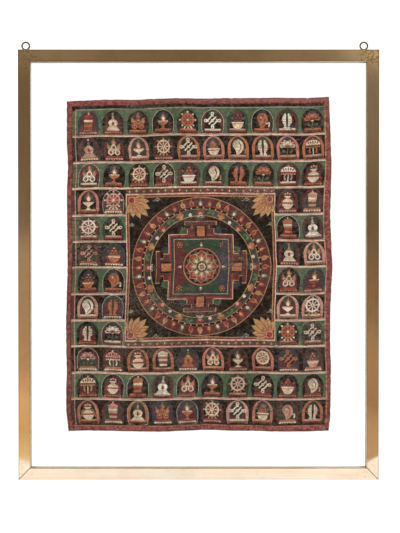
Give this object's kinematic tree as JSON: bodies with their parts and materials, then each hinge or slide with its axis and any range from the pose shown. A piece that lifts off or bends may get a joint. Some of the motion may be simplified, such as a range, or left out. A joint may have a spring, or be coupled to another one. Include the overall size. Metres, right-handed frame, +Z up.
{
  "type": "thangka painting in a glazed hanging frame",
  "caption": "Old painted cloth with a red painted edge, pressed flat between clear panes in a slim mitred brass frame that hangs from an eye near each end of its top rail.",
  "frame": {"origin": "on the line through the holes of the eyes, halfway across the frame and halfway through its depth", "axes": "+Z up along the frame's height, +X to the right of someone facing the painting, +Y through the frame's depth, away from them and towards the wall"},
  "size_m": [0.686, 0.0154, 0.8343],
  "materials": {
    "painted_cotton": "matt distemper paint on primed cotton, worn and finely cracked",
    "clear_sheet": "clear polished acrylic sheet with seamed edges",
    "brass": "polished brass with a fine lengthwise grain, a little tarnished",
    "dull_brass": "dull, darkened brass wire"
  },
  "bodies": {
    "root": {"painted_cloth": "painted_cotton", "pane_front": "clear_sheet", "pane_back": "clear_sheet", "rail_top": "brass", "rail_bottom": "brass", "rail_left": "brass", "rail_right": "brass", "ring_left": "dull_brass", "ring_right": "dull_brass"}
  },
  "joints": []
}
